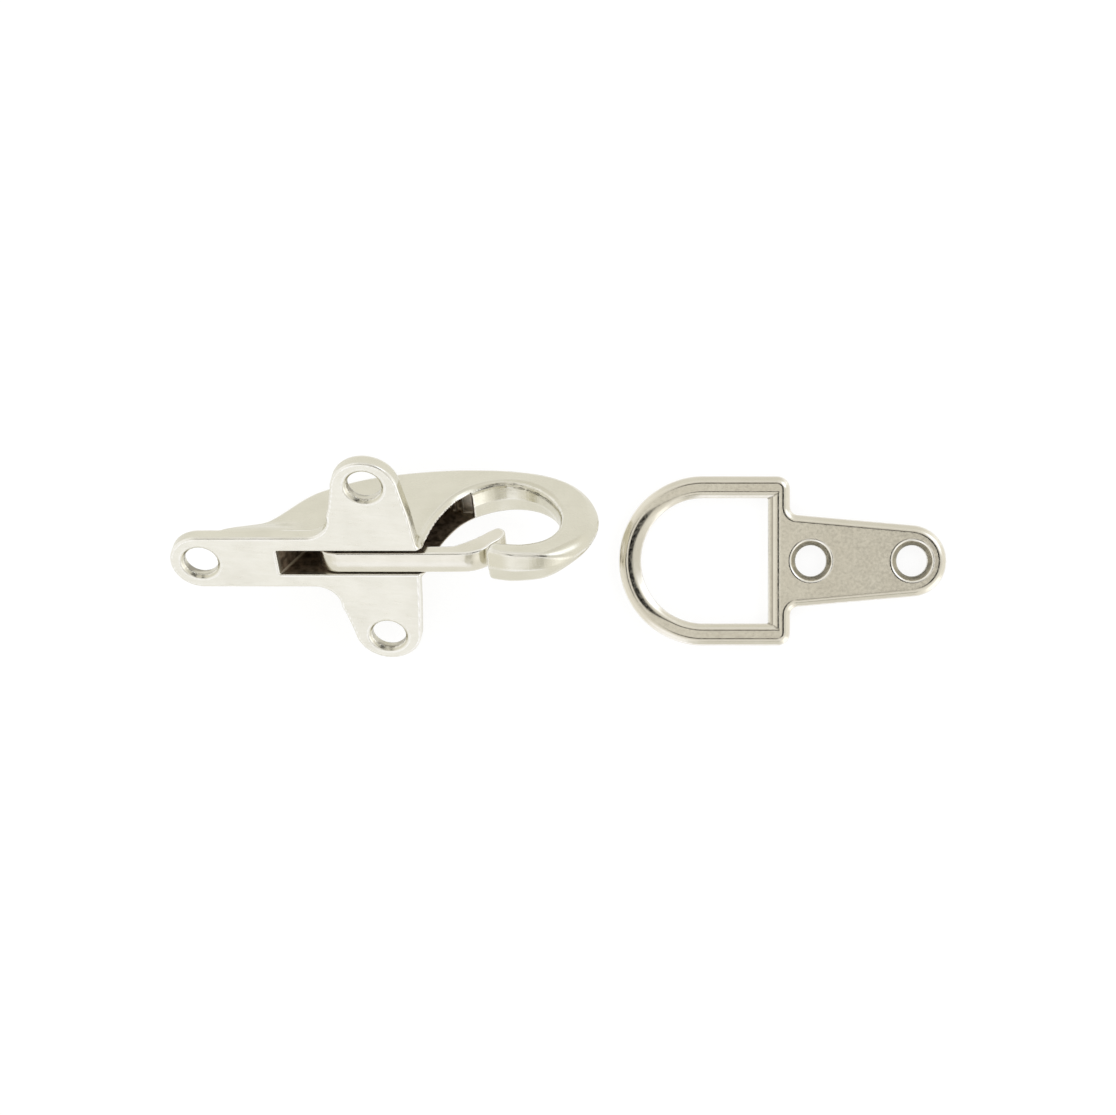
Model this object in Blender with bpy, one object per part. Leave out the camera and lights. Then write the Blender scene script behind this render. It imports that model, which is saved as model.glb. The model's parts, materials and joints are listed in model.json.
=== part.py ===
"""Spring-gate hook catch with its loose D-loop keeper plate.

Two castings lie side by side on a table.  The hook catch is one casting: a flat plate with three screw
ears, and a hollow body that rises from the plate and arches over into a hook.  A sprung gate turns on a
pin inside the body and closes the mouth of the hook.  The keeper is a flat D-shaped loop with a tail.

The hook catch is modelled in its own frame, in millimetres: X runs along the hook towards its bend, Y
runs across, Z rises from the screwed face of the plate, and the origin is midway between the two side
ears.  The keeper's frame starts at the round end of its loop.  Both are then laid on the table.
"""
import math

import bmesh
import bpy
from mathutils import Matrix, Vector
from mathutils.geometry import tessellate_polygon

MM = 0.001

# Fits between touching pieces.
GAP = 0.3

# Sides of the ring that stands for a screw hole, and the edge angle that is left sharp in the shading.
HOLE_SIDES = 28
SHARP_ANGLE = math.radians(35)

# Plate of the hook catch.
PLATE_THICKNESS = 2.0
ARM_HALF_WIDTH = 3.85
ARM_HOLE_X = -22.1
EAR_HOLE_Y = 11.65
EAR_END_Y = 11.05
EAR_RADIUS = 4.2
EAR_ROOT_X = -5.3
EAR_FILLET = 3.0
PLATE_RIGHT_X = 5.3
SCREW_BORE = 4.2
SCREW_RIM = 4.7
RIM_DEPTH = 0.3
SINK_DEPTH = 0.75

# Hollow body and hook.
BODY_HALF_WIDTH = 2.5
BOW_START_X = 8.0
BOW_LENGTH = 19.7
EDGE_ROUND = 0.45
BEND_ROUND = 1.25
INNER_ROUND = 0.3
BODY_FOOT_Z = 0.6
MOUTH_BACK_X = 5.45
SLOT_WIDTH = 3.7
SLOT_END_X = -12.2
SLOT_END_SLOPE = math.radians(22)

# Gate, its pin and its spring.
PIVOT = (-4.8, 4.15)
PIN_RADIUS = 0.9
GATE_WIDTH = 2.95
GATE_BAR = 1.85
GATE_ROUND = 0.35
SPRING_X = 0.5
SPRING_FOOT_Z = 2.35
SPRING_TOP_Z = 12.0
SPRING_RADIUS = 1.05
WIRE_RADIUS = 0.18
SPRING_TURNS = 9

# Keeper plate.
KEEPER_THICKNESS = 1.9
LOOP_RADIUS = 10.65
LOOP_OPENING = 7.86
LOOP_LENGTH = 21.5
LOOP_BAR = 2.76
LOOP_CORNER = 1.65
TAIL_ROOT_HALF = 5.7
TAIL_ROOT_X = 22.6
TAIL_END_RADIUS = 4.5
KEEPER_LENGTH = 41.1
KEEPER_HOLES_X = (24.1, 36.8)
KEEPER_BORE = 3.9
KEEPER_RIM = 4.9
OUTER_BEVEL = 0.83
INNER_BEVEL = 0.74
BAR_BEVEL = 1.2
BEVEL_DROP = 0.55

# How the two castings lie on the table: the hook catch leans on the crown of its hook.
LEAN = math.radians(39)
PITCH = math.radians(9)
KEEPER_OFFSET = (29.85, 0.28)

NICKEL_SATIN = (0.70, 0.67, 0.60)
NICKEL_BRIGHT = (0.80, 0.79, 0.75)
STEEL = (0.55, 0.54, 0.52)


def arc(center, radius, start, stop, steps):
    """Points on an arc, from the start angle to the stop angle in degrees."""
    angles = [math.radians(start + (stop - start) * i / steps) for i in range(steps + 1)]
    return [(center[0] + radius * math.cos(a), center[1] + radius * math.sin(a)) for a in angles]


def smooth_path(knots, steps):
    """A Catmull-Rom curve through the knots, with the first and last knot kept."""
    padded = [knots[0]] + list(knots) + [knots[-1]]
    points = []
    for i in range(len(knots) - 1):
        a, b, c, d = padded[i:i + 4]
        for s in range(steps):
            t = s / steps
            weights = (-t + 2 * t**2 - t**3, 2 - 5 * t**2 + 3 * t**3, t + 4 * t**2 - 3 * t**3, t**3 - t**2)
            near = (a, b, c, d)
            points.append(tuple(sum(w * p[k] for w, p in zip(weights, near)) / 2 for k in (0, 1)))
    return points + [tuple(knots[-1])]


def inward_normals(outline):
    """The mitred inward direction at each point of a counter-clockwise outline."""
    normals = []
    count = len(outline)
    for i in range(count):
        here = Vector(outline[i])
        before = (here - Vector(outline[i - 1])).normalized()
        after = (Vector(outline[(i + 1) % count]) - here).normalized()
        mean = (Vector((-before.y, before.x)) + Vector((-after.y, after.x))).normalized()
        lean = max(0.6, mean.dot(Vector((-before.y, before.x))))
        normals.append(mean / lean)
    return normals


def signed_area(outline):
    """Twice the outline's area, positive when it runs counter-clockwise."""
    pairs = zip(outline, outline[1:] + outline[:1])
    return sum(a[0] * b[1] - b[0] * a[1] for a, b in pairs)


def mesh_object(name, bm):
    """Turn a bmesh in millimetres into a smooth-shaded object in metres."""
    bmesh.ops.recalc_face_normals(bm, faces=bm.faces)
    if bm.calc_volume(signed=True) < 0:
        bmesh.ops.reverse_faces(bm, faces=bm.faces)
    bmesh.ops.scale(bm, vec=(MM, MM, MM), verts=bm.verts)
    mesh = bpy.data.meshes.new(name)
    bm.to_mesh(mesh)
    bm.free()
    mesh.shade_smooth()
    mesh.set_sharp_from_angle(angle=SHARP_ANGLE)
    obj = bpy.data.objects.new(name, mesh)
    bpy.context.scene.collection.objects.link(obj)
    return obj


def join_rings(bm, rings, outline):
    """Skin a stack of rings and close both ends with triangles that follow the outline."""
    count = len(outline)
    for low, high in zip(rings, rings[1:]):
        for i in range(count):
            j = (i + 1) % count
            bm.faces.new((low[i], low[j], high[j], high[i]))
    triangles = tessellate_polygon([[Vector((u, v, 0)) for u, v in outline]])
    for ring in (rings[0], rings[-1]):
        for triangle in triangles:
            bm.faces.new([ring[i] for i in triangle])
    bmesh.ops.triangulate(bm, faces=bm.faces)


def layered_solid(name, outline, layers, place):
    """Stack inset copies of an outline into a closed solid.

    layers holds (inset, height) pairs, each a number or a function of the outline point, and
    place turns (u, v, height) into a point.
    """
    if signed_area(outline) < 0:
        outline = outline[::-1]
    normals = inward_normals(outline)
    bm = bmesh.new()
    rings = []
    for inset, height in layers:
        ring = []
        for i, point in enumerate(outline):
            shift = inset(point) if callable(inset) else inset
            level = height(point) if callable(height) else height
            u, v = Vector(point) + normals[i] * shift
            ring.append(bm.verts.new(place(u, v, level)))
        rings.append(ring)
    join_rings(bm, rings, outline)
    return mesh_object(name, bm)


def flat(u, v, height):
    """Outline in X and Y, heights along Z."""
    return (u, v, height)


def upright(u, v, height):
    """Outline in X and Z, heights along Y."""
    return (u, height, v)


def cylinder(name, radius, start, stop, steps=28):
    """A cylinder between two points."""
    start, stop = Vector(start), Vector(stop)
    bm = bmesh.new()
    bmesh.ops.create_cone(
        bm,
        cap_ends=True,
        segments=steps,
        radius1=radius,
        radius2=radius,
        depth=(stop - start).length,
    )
    turn = Vector((0, 0, 1)).rotation_difference(stop - start).to_matrix().to_4x4()
    bmesh.ops.transform(bm, matrix=Matrix.Translation((start + stop) / 2) @ turn, verts=bm.verts)
    return mesh_object(name, bm)


def boolean(target, other, operation):
    """Apply an exact boolean and delete the other object."""
    modifier = target.modifiers.new(operation.lower(), "BOOLEAN")
    modifier.operation = operation
    modifier.solver = "EXACT"
    modifier.object = other
    graph = bpy.context.evaluated_depsgraph_get()
    result = bpy.data.meshes.new_from_object(target.evaluated_get(graph))
    target.modifiers.clear()
    target.data = result
    bpy.data.objects.remove(other)


def finish(obj, material):
    """Merge stray points, then give the object its one material and smooth shading."""
    bm = bmesh.new()
    bm.from_mesh(obj.data)
    bmesh.ops.remove_doubles(bm, verts=bm.verts, dist=0.000001)
    bm.to_mesh(obj.data)
    bm.free()
    obj.data.materials.clear()
    obj.data.materials.append(material)
    for polygon in obj.data.polygons:
        polygon.material_index = 0
    obj.data.shade_smooth()
    obj.data.set_sharp_from_angle(angle=SHARP_ANGLE)


def metal(name, color, roughness):
    """A plain metal material."""
    material = bpy.data.materials.new(name)
    material.use_nodes = True
    shader = material.node_tree.nodes["Principled BSDF"]
    shader.inputs["Base Color"].default_value = (*color, 1.0)
    shader.inputs["Metallic"].default_value = 1.0
    shader.inputs["Roughness"].default_value = roughness
    return material


def plate_outline():
    """The three-eared plate, seen from the front; the lower half mirrors the upper one."""
    taper = (PLATE_RIGHT_X - EAR_RADIUS) / EAR_END_Y
    upper = [(PLATE_RIGHT_X, 0.0)]
    upper += [(PLATE_RIGHT_X - 0.05 - taper * y, y) for y in (2.5, 7.0)]
    upper += arc((0, EAR_END_Y), EAR_RADIUS, 0, 180, 16)
    upper += [(EAR_ROOT_X + 0.45, EAR_END_Y - 2.6)]
    fillet_center = (EAR_ROOT_X - EAR_FILLET, ARM_HALF_WIDTH + EAR_FILLET)
    upper += arc(fillet_center, EAR_FILLET, 0, -90, 7)
    upper += arc((ARM_HOLE_X, 0), ARM_HALF_WIDTH, 90, 180, 9)
    lower = [(x, -y) for x, y in upper[-2:0:-1]]
    return upper + lower


def bow_half_width(x):
    """Half the body's width: parallel at first, then drawn in like the bow of a boat."""
    along = max(0.0, min(0.985, (x - BOW_START_X) / BOW_LENGTH))
    return BODY_HALF_WIDTH * math.sqrt(1 - along**2)


def hook_outline():
    """Side view of the body and hook, in X and Z, as one closed outline."""
    back = [(-19.4, BODY_FOOT_Z), (-19.2, 2.2), (-16.6, 3.7), (-14.6, 4.9), (-12.9, 6.7), (-10.2, 10.0)]
    back += [(-7.7, 11.8), (-2.8, 13.95), (4.6, 15.3), (11.5, 15.62), (16.3, 15.4), (20.2, 14.7)]
    back += [(23.3, 13.2), (25.7, 10.7), (26.8, 7.3), (26.2, 3.8), (24.1, 0.95), (21.0, -0.95)]
    back += [(17.4, -1.45), (15.2, -0.95), (14.1, 0.0), (14.2, 0.95)]
    mouth = [(15.2, 1.25), (18.4, 1.25), (21.2, 2.55), (22.7, 5.2), (22.4, 8.2), (20.5, 10.9)]
    mouth += [(17.6, 12.75), (14.4, 13.15), (11.2, 12.05), (8.6, 10.2), (7.1, 7.5), (6.1, 4.6)]
    mouth += [(MOUTH_BACK_X, BODY_FOOT_Z)]
    outer = smooth_path(back, 3)
    inner = smooth_path(mouth, 3)
    return outer + inner


def inside_mouth(point):
    """Whether a point of the side outline belongs to the mouth's inner edge."""
    x, z = point
    return 5.0 < x < 23.5 and 1.2 < z < 13.6 and math.hypot(x - 14.5, z - 6.5) < 10.3


def edge_round(point):
    """The rounding of the body's edges, soft around the outside of the bend."""
    if inside_mouth(point):
        return INNER_ROUND
    x, z = point
    if z < 1.0 and x < 12:
        return INNER_ROUND
    blend = max(0.0, min(1.0, (x - 2.0) / 16.0))
    soft = EDGE_ROUND + (BEND_ROUND - EDGE_ROUND) * blend
    return min(soft, 0.6) if x < 16 and z < 2 else soft


def edge_drop(point):
    """How far the rounding reaches down the rim, always short of the middle of the body."""
    return min(edge_round(point), 0.75 * bow_half_width(point[0]))


def hook_solid():
    """The body and hook before it is hollowed, with rounded edges and a bow-shaped plan."""
    steps = 4
    layers = []
    for side in (-1, 1):
        part = []
        for i in range(steps + 1):
            angle = math.pi / 2 * i / steps
            part.append((
                lambda p, a=angle: edge_round(p) * (1 - math.sin(a)),
                lambda p, a=angle, s=side: s * (bow_half_width(p[0]) - edge_drop(p) * (1 - math.cos(a))),
            ))
        layers += part if side < 0 else part[::-1]
    return layered_solid("hook_solid", hook_outline(), layers, upright)


def plate_solid():
    """The eared plate: a flat screwed face, and softer edges at its front."""
    front, back = 0.5, 0.15
    top = PLATE_THICKNESS
    layers = [(back, 0.0), (0.0, back), (0.0, top - front), (0.3 * front, top - 0.3 * front), (front, top)]
    return layered_solid("plate_solid", plate_outline(), layers, flat)


def cavity_cutter():
    """The slot through the plate and the hollow of the body, open into the mouth."""
    foot = 1.0
    drop = foot * math.tan(SLOT_END_SLOPE)
    rise = 7.2
    shape = [(SLOT_END_X - drop, -foot), (SLOT_END_X + rise * math.tan(SLOT_END_SLOPE), rise)]
    shape += [(-7.4, 9.5), (-5.0, 11.0), (-1.0, 12.3), (4.0, 13.2), (8.6, 13.4), (9.7, 12.9)]
    shape += [(9.7, 11.9), (10.6, 11.9), (12.0, 8.0), (12.0, -foot)]
    half = SLOT_WIDTH / 2
    return layered_solid("cavity", shape, [(0.0, -half), (0.0, half)], upright)


def cut_screw_hole(body, center, bore, rim, face, through, sink=0.0):
    """Cut one screw hole with a turned cutter.

    The bore has a small flare at its face, and may be countersunk at its other end, at 45 degrees.
    """
    inward = 1 if through > face else -1
    outside = 0.5
    turn_start = 5
    flare = (rim - bore) / 2 / RIM_DEPTH
    profile = [(face - inward * outside, rim / 2 + flare * outside), (face + inward * RIM_DEPTH, bore / 2)]
    if sink:
        profile += [(through - inward * sink, bore / 2), (through, bore / 2 + sink)]
    profile += [(through + inward * outside, bore / 2 + sink)]
    bm = bmesh.new()
    rings = []
    for z, radius in profile:
        circle = arc(center, radius, turn_start, turn_start + 360, HOLE_SIDES)[:-1]
        rings.append([bm.verts.new((u, v, z)) for u, v in circle])
    join_rings(bm, rings, circle)
    boolean(body, mesh_object("screw_hole", bm), "DIFFERENCE")


def build_hook_body(material):
    """The casting of plate, hollow body and hook."""
    body = hook_solid()
    boolean(body, plate_solid(), "UNION")
    boolean(body, cavity_cutter(), "DIFFERENCE")
    for center in ((ARM_HOLE_X, 0), (0, EAR_HOLE_Y), (0, -EAR_HOLE_Y)):
        cut_screw_hole(body, center, SCREW_BORE, SCREW_RIM, 0.0, PLATE_THICKNESS, SINK_DEPTH)
    reach = BODY_HALF_WIDTH + 1
    bore = cylinder("bore", PIN_RADIUS + GAP, (PIVOT[0], -reach, PIVOT[1]), (PIVOT[0], reach, PIVOT[1]))
    boolean(body, bore, "DIFFERENCE")
    body.name = body.data.name = "hook_body"
    finish(body, material)
    return body


def gate_outline():
    """Side view of the gate: a heel around the pin, a straight bar, and a tip that hooks upwards."""
    heel = arc(PIVOT, 2.45, 20, 165, 8)
    heel += [(-8.2, 3.75), (-7.3, 2.1), (-5.6, 0.06)]
    under = [(10.2, 0.06), (11.5, 0.2), (12.5, 0.6), (13.35, 1.2), (14.1, 2.3), (15.0, 3.25), (15.5, 4.25)]
    tip = [(15.3, 4.95), (14.8, 5.35), (14.3, 5.35), (13.6, 4.85), (12.5, 3.85), (11.4, 3.0), (10.2, 2.3)]
    tip += [(9.0, GATE_BAR), (-0.4, GATE_BAR), (-1.6, 2.6)]
    return heel + under + tip


def build_gate(material):
    """The gate lever, with a cross hole for its pin; its origin is on the pin's axis."""
    half = GATE_WIDTH / 2
    layers = [(GATE_ROUND, -half), (0.3 * GATE_ROUND, 0.3 * GATE_ROUND - half), (0.0, GATE_ROUND - half)]
    layers += [(inset, -height) for inset, height in reversed(layers)]
    gate = layered_solid("gate_lever", gate_outline(), layers, upright)
    bore = cylinder("bore", PIN_RADIUS + GAP, (PIVOT[0], -4, PIVOT[1]), (PIVOT[0], 4, PIVOT[1]))
    boolean(gate, bore, "DIFFERENCE")
    gate.name = gate.data.name = "gate_lever"
    finish(gate, material)
    origin = Vector((PIVOT[0], 0, PIVOT[1])) * MM
    gate.data.transform(Matrix.Translation(-origin))
    gate.location = origin
    return gate


def build_pin(material):
    """The cross pin, just short of the body's two side faces."""
    half = BODY_HALF_WIDTH - 0.1
    start, stop = (PIVOT[0], -half, PIVOT[1]), (PIVOT[0], half, PIVOT[1])
    pin = cylinder("gate_pivot_pin", PIN_RADIUS, start, stop, 20)
    finish(pin, material)
    return pin


def build_spring(material):
    """The compression coil between the back of the gate and the roof of the hollow."""
    per_turn = 10
    curve = bpy.data.curves.new("gate_spring", "CURVE")
    curve.dimensions = "3D"
    curve.bevel_depth = WIRE_RADIUS * MM
    curve.bevel_resolution = 2
    curve.use_fill_caps = True
    spline = curve.splines.new("POLY")
    count = SPRING_TURNS * per_turn + 1
    spline.points.add(count - 1)
    for i in range(count):
        angle = 2 * math.pi * i / per_turn
        x = SPRING_X + SPRING_RADIUS * math.cos(angle)
        y = SPRING_RADIUS * math.sin(angle)
        z = SPRING_FOOT_Z + (SPRING_TOP_Z - SPRING_FOOT_Z) * i / (count - 1)
        spline.points[i].co = (x * MM, y * MM, z * MM, 1)
    spring = bpy.data.objects.new("gate_spring", curve)
    bpy.context.scene.collection.objects.link(spring)
    curve.materials.append(material)
    return spring


def keeper_outline():
    """Outer outline of the keeper: a D loop, square shoulders and a tapering round-ended tail."""
    shoulder = LOOP_LENGTH
    corner = (shoulder - LOOP_CORNER, LOOP_RADIUS - LOOP_CORNER)
    end = (KEEPER_LENGTH - TAIL_END_RADIUS, 0)
    upper = arc(end, TAIL_END_RADIUS, 0, 85, 9)
    upper += [(TAIL_ROOT_X, TAIL_ROOT_HALF), (shoulder + 0.15, TAIL_ROOT_HALF + 0.45)]
    upper += [(shoulder, TAIL_ROOT_HALF + 1.0)]
    upper += arc(corner, LOOP_CORNER, 0, 90, 5)
    upper += arc((LOOP_RADIUS, 0), LOOP_RADIUS, 90, 180, 16)
    lower = [(x, -y) for x, y in upper[-2:0:-1]]
    return upper + lower


def opening_outline(grow, bar_grow):
    """The D opening, grown by one amount around its arc and by another along its straight bar."""
    radius = LOOP_OPENING + grow
    bar_x = LOOP_LENGTH - LOOP_BAR + bar_grow
    return [(bar_x, -radius), (bar_x, radius)] + arc((LOOP_RADIUS, 0), radius, 90, 270, 28)


def opening_cutter():
    """The opening with its bevels: a wide one along the bar, a narrower one around the arc."""
    top = KEEPER_THICKNESS
    levels = [(-0.5, 0.0, 0.0), (top - BEVEL_DROP, 0.0, 0.0), (top, INNER_BEVEL, BAR_BEVEL)]
    levels += [(top + 0.4, INNER_BEVEL * 1.7, BAR_BEVEL * 1.7)]
    bm = bmesh.new()
    rings = []
    for z, grow, bar_grow in levels:
        rings.append([bm.verts.new((x, y, z)) for x, y in opening_outline(grow, bar_grow)])
    join_rings(bm, rings, opening_outline(0.0, 0.0))
    return mesh_object("opening", bm)


def build_keeper(material):
    """The keeper plate with its opening, bevels and two screw holes."""
    top = KEEPER_THICKNESS
    layers = [(0.15, 0.0), (0.0, 0.15), (0.0, top - BEVEL_DROP), (OUTER_BEVEL, top)]
    keeper = layered_solid("keeper_plate", keeper_outline(), layers, flat)
    boolean(keeper, opening_cutter(), "DIFFERENCE")
    for x in KEEPER_HOLES_X:
        cut_screw_hole(keeper, (x, 0), KEEPER_BORE, KEEPER_RIM, top, 0.0)
    keeper.name = keeper.data.name = "keeper_plate"
    finish(keeper, material)
    return keeper


def frame_empty(name, matrix):
    """An empty that carries one unit's own frame."""
    empty = bpy.data.objects.new(name, None)
    bpy.context.scene.collection.objects.link(empty)
    empty.matrix_world = matrix
    return empty


def world_bounds(objects):
    """The lowest and highest corner of the objects' evaluated meshes."""
    graph = bpy.context.evaluated_depsgraph_get()
    points = []
    for obj in objects:
        shape = obj.evaluated_get(graph)
        mesh = shape.to_mesh()
        points += [shape.matrix_world @ vertex.co for vertex in mesh.vertices]
        shape.to_mesh_clear()
    low = Vector([min(p[k] for p in points) for k in range(3)])
    high = Vector([max(p[k] for p in points) for k in range(3)])
    return low, high


def lay_on_table(hook_frame, hook_pieces, keeper_frame, keeper_pieces):
    """Rest both units on the table, with the pair's bottom centre at the origin."""
    bpy.context.view_layer.update()
    low, _ = world_bounds(hook_pieces)
    hook_frame.location.z -= low.z
    bpy.context.view_layer.update()
    low, high = world_bounds(hook_pieces + keeper_pieces)
    middle = (low + high) / 2
    for frame in (hook_frame, keeper_frame):
        frame.location.x -= middle.x
        frame.location.y -= middle.y
    bpy.context.view_layer.update()


def main():
    for obj in list(bpy.data.objects):
        bpy.data.objects.remove(obj)
    satin = metal("hook_nickel", NICKEL_SATIN, 0.38)
    bright = metal("keeper_nickel", NICKEL_BRIGHT, 0.28)
    gate_metal = metal("gate_nickel", NICKEL_SATIN, 0.32)
    pin_metal = metal("pin_steel", STEEL, 0.3)
    spring_metal = metal("spring_steel", STEEL, 0.35)

    hook_pieces = [build_hook_body(satin), build_gate(gate_metal), build_pin(pin_metal)]
    hook_pieces += [build_spring(spring_metal)]
    keeper = build_keeper(bright)

    turn = Matrix.Rotation(-PITCH, 4, "Y") @ Matrix.Rotation(math.pi + LEAN, 4, "X")
    hook_frame = frame_empty("hook_frame", turn)
    keeper_place = Vector((KEEPER_OFFSET[0] * MM, KEEPER_OFFSET[1] * MM, 0))
    keeper_frame = frame_empty("keeper_frame", Matrix.Translation(keeper_place))
    for piece in hook_pieces:
        piece.parent = hook_frame
    keeper.parent = keeper_frame
    lay_on_table(hook_frame, hook_pieces, keeper_frame, [keeper])


main()
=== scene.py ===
"""Looks of the spring-gate hook catch and its D-loop keeper.

Each casting is rebuilt as one smooth skin: its solid is written as a signed-distance function in the
piece's own frame (millimetres), the surface is read off a fine grid, and every point is then moved onto
the exact surface.  Roundings and fillets are part of the function, as they are in a real die casting.
"""
import json
import math

import bpy
import numpy as np
from mathutils import Matrix, Vector


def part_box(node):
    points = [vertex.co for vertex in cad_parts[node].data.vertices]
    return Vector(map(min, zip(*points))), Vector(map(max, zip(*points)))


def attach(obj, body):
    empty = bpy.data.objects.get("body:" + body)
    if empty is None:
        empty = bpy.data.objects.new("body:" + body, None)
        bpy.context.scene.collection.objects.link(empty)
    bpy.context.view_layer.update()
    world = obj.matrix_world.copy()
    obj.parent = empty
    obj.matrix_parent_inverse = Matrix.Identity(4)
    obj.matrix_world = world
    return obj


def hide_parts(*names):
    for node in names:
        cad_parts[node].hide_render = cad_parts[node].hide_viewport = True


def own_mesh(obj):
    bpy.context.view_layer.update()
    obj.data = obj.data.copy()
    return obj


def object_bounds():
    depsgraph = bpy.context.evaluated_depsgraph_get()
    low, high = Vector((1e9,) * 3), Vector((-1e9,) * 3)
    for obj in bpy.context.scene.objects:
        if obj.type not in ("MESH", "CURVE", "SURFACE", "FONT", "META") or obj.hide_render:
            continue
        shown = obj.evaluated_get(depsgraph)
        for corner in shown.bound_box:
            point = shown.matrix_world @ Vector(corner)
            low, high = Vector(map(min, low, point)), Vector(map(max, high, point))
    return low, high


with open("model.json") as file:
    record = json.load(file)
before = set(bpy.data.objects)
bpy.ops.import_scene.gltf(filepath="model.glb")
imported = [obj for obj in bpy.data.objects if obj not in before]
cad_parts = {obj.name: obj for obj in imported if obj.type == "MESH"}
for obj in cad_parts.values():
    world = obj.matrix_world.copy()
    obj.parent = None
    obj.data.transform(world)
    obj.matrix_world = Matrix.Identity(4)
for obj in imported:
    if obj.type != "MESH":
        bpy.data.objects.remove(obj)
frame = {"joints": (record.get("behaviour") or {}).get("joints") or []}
CAD_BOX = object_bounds()
MM = 0.001

# ---------------------------------------------------------------------------------------------
# Frames of the two castings, placed by the gate's hinge and the keeper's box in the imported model.
# The hook catch lies on its crown, leaning about its length and with its nose down.
# ---------------------------------------------------------------------------------------------
LEAN = math.radians(39)
PITCH = math.radians(9)
PIVOT = np.array([-4.8, 0.0, 4.15])

JOINTS = {joint["name"]: joint for joint in frame["joints"]}
HOOK_TURN = Matrix.Rotation(-PITCH, 3, "Y") @ Matrix.Rotation(math.pi + LEAN, 3, "X")
HOOK_ORIGIN = Vector(JOINTS["gate_hinge"]["pos_m"]) - HOOK_TURN @ Vector(PIVOT * MM)
HOOK_FRAME = Matrix.Translation(HOOK_ORIGIN) @ HOOK_TURN.to_4x4()
KEEPER_LOW, KEEPER_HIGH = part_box("keeper_plate")
KEEPER_ORIGIN = Vector((KEEPER_LOW.x, (KEEPER_LOW.y + KEEPER_HIGH.y) / 2, 0.0))
KEEPER_FRAME = Matrix.Translation(KEEPER_ORIGIN)

# ---------------------------------------------------------------------------------------------
# Sizes, in millimetres, as in the CAD part.
# Hook catch: X runs along it towards the hook, Y across it, and Z from the back of its plate.
# ---------------------------------------------------------------------------------------------
PLATE_THICKNESS = 2.0
ARM_HALF_WIDTH = 3.85
ARM_HOLE_X = -22.1
EAR_HOLE_Y = 11.65
EAR_END_Y = 11.05
EAR_RADIUS = 4.2
EAR_ROOT_X = -5.3
EAR_FILLET = 3.0
PLATE_LOW_X = 5.25
PLATE_HIGH_X = 5.45
SCREW_BORE = 4.2
HOOK_HOLES = ((ARM_HOLE_X, 0.0), (0.0, EAR_HOLE_Y), (0.0, -EAR_HOLE_Y))
RIM_DEPTH = 0.42
SINK_DEPTH = 0.75
BODY_HALF_WIDTH = 2.5
BOW_START_X = 8.0
BOW_LENGTH = 19.7
BOW_END = 0.985
FLARE = 1.34
PARTING_RIDGE = 0.34
MOUTH_CHAMFER = 0.42
MOUTH_CHAMFER_EXTRA = 0.22
NOSE_CROWN = 0.5
BEND_X = 18.0
BEND_Z = 6.0
SLOT_HALF = 1.85
SLOT_END_X = -12.4
SLOT_END_SLOPE = math.radians(27)
SLOT_END_RISE = 6.4

GATE_HALF = 1.475
GATE_BAR = 1.85
GATE_PLAY = 0.22
GATE_CROWN = 0.3
GATE_HEEL = 2.45
PIN_RADIUS = 0.9
PIN_ROOM = 0.05
GATE_PIN_ROOM = 0.1
SPRING_X = 0.5
SPRING_FOOT_Z = 2.35
SPRING_TOP_Z = 12.0
SPRING_RADIUS = 1.05
SPRING_TURNS = 9
WIRE_RADIUS = 0.18

# Keeper: X runs from the round end of its loop to the end of its tail, Y across it, and Z from its back.
KEEPER_THICKNESS = 1.9
LOOP_RADIUS = 10.65
LOOP_OPENING = 7.86
LOOP_LENGTH = 21.5
LOOP_BAR = 2.76
LOOP_CORNER = 1.65
TAIL_ROOT_HALF = 5.7
TAIL_FILLET = 1.0
TAIL_END_RADIUS = 4.5
KEEPER_LENGTH = 41.1
KEEPER_HOLES_X = (24.1, 36.8)
KEEPER_BORE = 3.9
KEEPER_BEVEL = 0.73
KEEPER_BEVEL_SLOPE = math.radians(32)
LOOP_BEVEL = 0.62
LOOP_BEVEL_EXTRA = 0.8
BAR_BEVELS = ((1.15, 0.64), (1.65, 0.52))
KEEPER_SINK_DEPTH = 0.76
KEEPER_SINK_ANGLE = 1.05

# Roundings of the edges.
HULL_EDGE = 0.4
BEND_EDGE_EXTRA = 1.1
PLATE_EDGE = 0.5
FLOOR_EDGE = 0.28
HOLLOW_CORNER = 0.25
SLOT_EDGE = 0.14
FINE_EDGE = 0.12
PIN_EDGE = 0.05
GATE_EDGE = 0.22
KEEPER_FOOT_EDGE = 0.15
KEEPER_CROWN_EDGE = 0.16
KEEPER_INNER_EDGE = 0.22
DIAGONAL = 0.7071

GRID_STEP = 0.18


# ---------------------------------------------------------------------------------------------
# Outlines
# ---------------------------------------------------------------------------------------------
def arc(center, radius, start, stop, steps):
    """Points on an arc, from the start angle to the stop angle in degrees."""
    angles = np.radians(np.linspace(start, stop, steps + 1))
    return [(center[0] + radius * math.cos(a), center[1] + radius * math.sin(a)) for a in angles]


def smooth_path(knots, steps=8):
    """A Catmull-Rom curve through the knots."""
    knots = np.array([knots[0]] + list(knots) + [knots[-1]], float)
    t = np.linspace(0, 1, steps, endpoint=False)[:, None]
    parts = []
    for a, b, c, d in zip(knots, knots[1:], knots[2:], knots[3:]):
        parts.append(0.5 * (2 * b + (c - a) * t + (2 * a - 5 * b + 4 * c - d) * t**2
                            + (3 * b - a - 3 * c + d) * t**3))
    return [tuple(p) for p in np.vstack(parts)] + [tuple(knots[-1])]


def mirrored(upper):
    """Close an outline with the mirror image of its upper half."""
    return upper + [(x, -y) for x, y in upper[-2:0:-1]]


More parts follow.
